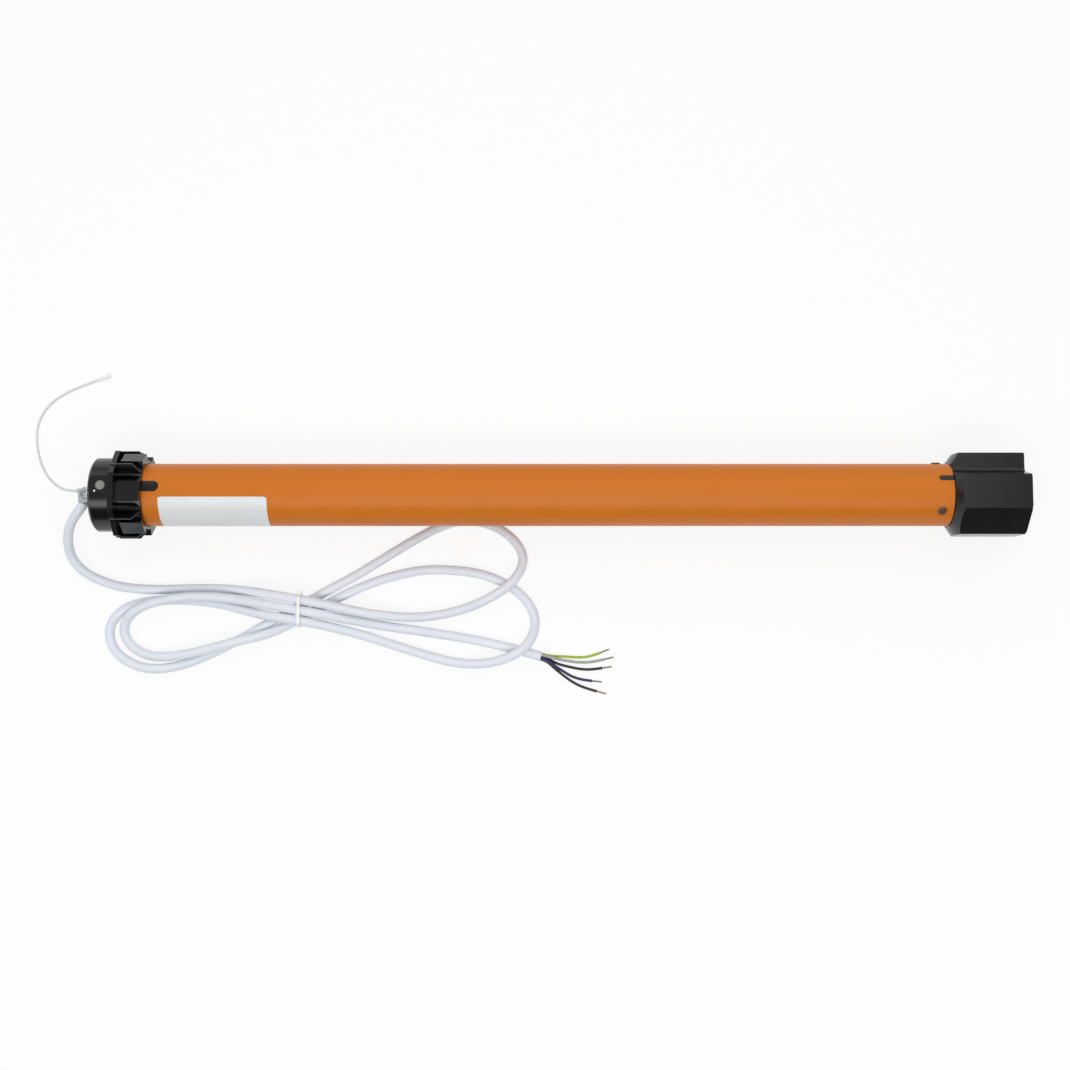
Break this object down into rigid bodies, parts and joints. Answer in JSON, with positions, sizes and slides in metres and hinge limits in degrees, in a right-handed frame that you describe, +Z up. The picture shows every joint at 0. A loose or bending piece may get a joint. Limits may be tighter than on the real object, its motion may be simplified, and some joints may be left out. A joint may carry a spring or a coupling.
{
  "type": "tubular roller blind motor",
  "caption": "Tubular motor for a roller blind: orange steel tube with black head, running crown and drive wheel, planetary gearbox inside, and its tied cable with bared core ends.",
  "frame": {"origin": "on the motor's axis at the head's outer face", "axes": "+X along the motor from the head to the drive wheel, +Z up, the table 30.5 mm below the axis, the cable on the -Y side"},
  "size_m": [0.7212, 0.2381, 0.061],
  "materials": {
    "orange_tube": "satin lacquer",
    "black_plastic": "moulded, fine grain",
    "grey_plastic": "moulded",
    "white_plastic": "moulded",
    "white_gloss": "polished",
    "clear_plastic": "translucent",
    "tie_white": "moulded",
    "cable_white": "smooth sheath",
    "core_green_yellow": "smooth sheath",
    "core_grey": "smooth sheath",
    "core_black": "smooth sheath",
    "core_blue": "smooth sheath",
    "core_brown": "smooth sheath",
    "tinned_copper": "tinned",
    "steel": "turned",
    "core_steel": "rolled",
    "aluminium": "drawn",
    "copper": "bright copper",
    "bronze": "sintered bronze",
    "board_green": "lacquered board",
    "magnet": "nickel plated",
    "rubber": "moulded"
  },
  "bodies": {
    "motor": {"motor_tube": "orange_tube", "head_housing": "black_plastic", "tube_rivets": "steel", "setting_switch": "black_plastic", "switch_board": "board_green", "status_lens": "white_gloss", "encoder_board": "board_green", "cable_plug": "white_plastic", "electronics_tray": "white_plastic", "control_board": "board_green", "relays": "black_plastic", "supply_transformer": "steel", "radio_module": "board_green", "run_capacitor": "aluminium", "end_shields": "aluminium", "motor_bearings": "steel", "stator_core": "core_steel", "stator_windings": "copper", "brake_plate": "core_steel", "inlet_cover": "core_steel", "ring_gear": "core_steel", "output_housing": "black_plastic", "output_bushes": "bronze", "output_seal": "rubber", "cable_clip": "clear_plastic", "cable_tie": "tie_white", "aerial_ferrule": "tie_white", "cable_lead": "cable_white", "cable_hank": "cable_white", "cable_tail": "cable_white", "aerial_wire": "cable_white", "core_green_yellow": "core_green_yellow", "core_grey": "core_grey", "core_black": "core_black", "core_blue": "core_blue", "core_brown": "core_brown", "core_tips": "tinned_copper"},
    "setting_button_body": {"setting_button": "grey_plastic", "switch_plunger": "black_plastic"},
    "crown": {"running_crown": "black_plastic"},
    "encoder": {"encoder_pinion": "white_plastic", "encoder_magnet": "magnet"},
    "rotor": {"rotor_core": "core_steel", "rotor_shaft": "steel", "brake_spring": "steel"},
    "brake": {"brake_disc": "core_steel"},
    "carrier_1": {"stage_1_carrier": "steel"},
    "carrier_2": {"stage_2_carrier": "steel"},
    "output": {"output_carrier": "steel", "drive_wheel": "black_plastic", "wheel_clip": "steel"},
    "planet_1_1": {"stage_1_planet_1": "steel"},
    "planet_1_2": {"stage_1_planet_2": "steel"},
    "planet_1_3": {"stage_1_planet_3": "steel"},
    "planet_2_1": {"stage_2_planet_1": "steel"},
    "planet_2_2": {"stage_2_planet_2": "steel"},
    "planet_2_3": {"stage_2_planet_3": "steel"},
    "planet_3_1": {"stage_3_planet_1": "steel"},
    "planet_3_2": {"stage_3_planet_2": "steel"},
    "planet_3_3": {"stage_3_planet_3": "steel"}
  },
  "joints": [
    {"name": "rotor_spin", "type": "hinge", "parent": "motor", "child": "rotor", "pos_m": [0.35, 0, 0], "axis": [1, 0, 0], "continuous": true},
    {"name": "brake_release", "type": "slide", "parent": "rotor", "child": "brake", "axis": [-1, 0, 0], "range_m": [0, 0.0006], "stiffness_N_per_m": 1500, "springref_m": -0.003},
    {"name": "button_press", "type": "slide", "parent": "motor", "child": "setting_button_body", "axis": [0, -0.1702, -0.9854], "range_m": [0, 0.0008], "stiffness_N_per_m": 400, "springref_m": -0.002},
    {"name": "crown_spin", "type": "hinge", "parent": "motor", "child": "crown", "pos_m": [0.0266, 0, 0], "axis": [1, 0, 0], "continuous": true},
    {"name": "encoder_spin", "type": "hinge", "parent": "motor", "child": "encoder", "pos_m": [0.0158, 0, -0.017], "axis": [1, 0, 0], "continuous": true},
    {"name": "carrier_1_spin", "type": "hinge", "parent": "motor", "child": "carrier_1", "pos_m": [0.4746, 0, 0], "axis": [1, 0, 0], "continuous": true},
    {"name": "carrier_2_spin", "type": "hinge", "parent": "motor", "child": "carrier_2", "pos_m": [0.4989, 0, 0], "axis": [1, 0, 0], "continuous": true},
    {"name": "output_spin", "type": "hinge", "parent": "motor", "child": "output", "pos_m": [0.6, 0, 0], "axis": [1, 0, 0], "continuous": true},
    {"name": "planet_1_1_spin", "type": "hinge", "parent": "carrier_1", "child": "planet_1_1", "pos_m": [0.465, 0.01155, 0], "axis": [1, 0, 0], "continuous": true},
    {"name": "planet_1_2_spin", "type": "hinge", "parent": "carrier_1", "child": "planet_1_2", "pos_m": [0.465, -0.00577, 0.01], "axis": [1, 0, 0], "continuous": true},
    {"name": "planet_1_3_spin", "type": "hinge", "parent": "carrier_1", "child": "planet_1_3", "pos_m": [0.465, -0.00577, -0.01], "axis": [1, 0, 0], "continuous": true},
    {"name": "planet_2_1_spin", "type": "hinge", "parent": "carrier_2", "child": "planet_2_1", "pos_m": [0.4866, 0.01155, 0], "axis": [1, 0, 0], "continuous": true},
    {"name": "planet_2_2_spin", "type": "hinge", "parent": "carrier_2", "child": "planet_2_2", "pos_m": [0.4866, -0.00577, 0.01], "axis": [1, 0, 0], "continuous": true},
    {"name": "planet_2_3_spin", "type": "hinge", "parent": "carrier_2", "child": "planet_2_3", "pos_m": [0.4866, -0.00577, -0.01], "axis": [1, 0, 0], "continuous": true},
    {"name": "planet_3_1_spin", "type": "hinge", "parent": "output", "child": "planet_3_1", "pos_m": [0.5156, 0.01155, 0], "axis": [1, 0, 0], "continuous": true},
    {"name": "planet_3_2_spin", "type": "hinge", "parent": "output", "child": "planet_3_2", "pos_m": [0.5156, -0.00577, 0.01], "axis": [1, 0, 0], "continuous": true},
    {"name": "planet_3_3_spin", "type": "hinge", "parent": "output", "child": "planet_3_3", "pos_m": [0.5156, -0.00577, -0.01], "axis": [1, 0, 0], "continuous": true}
  ],
  "couplings": [
    {"joint": "encoder_spin", "follows": "crown_spin", "ratio": 3.4286},
    {"joint": "carrier_1_spin", "follows": "rotor_spin", "ratio": 0.21429},
    {"joint": "carrier_2_spin", "follows": "rotor_spin", "ratio": 0.045918},
    {"joint": "output_spin", "follows": "rotor_spin", "ratio": 0.0098397},
    {"joint": "planet_1_1_spin", "follows": "rotor_spin", "ratio": -0.58929},
    {"joint": "planet_1_2_spin", "follows": "rotor_spin", "ratio": -0.58929},
    {"joint": "planet_1_3_spin", "follows": "rotor_spin", "ratio": -0.58929},
    {"joint": "planet_2_1_spin", "follows": "rotor_spin", "ratio": -0.12628},
    {"joint": "planet_2_2_spin", "follows": "rotor_spin", "ratio": -0.12628},
    {"joint": "planet_2_3_spin", "follows": "rotor_spin", "ratio": -0.12628},
    {"joint": "planet_3_1_spin", "follows": "rotor_spin", "ratio": -0.027059},
    {"joint": "planet_3_2_spin", "follows": "rotor_spin", "ratio": -0.027059},
    {"joint": "planet_3_3_spin", "follows": "rotor_spin", "ratio": -0.027059}
  ]
}
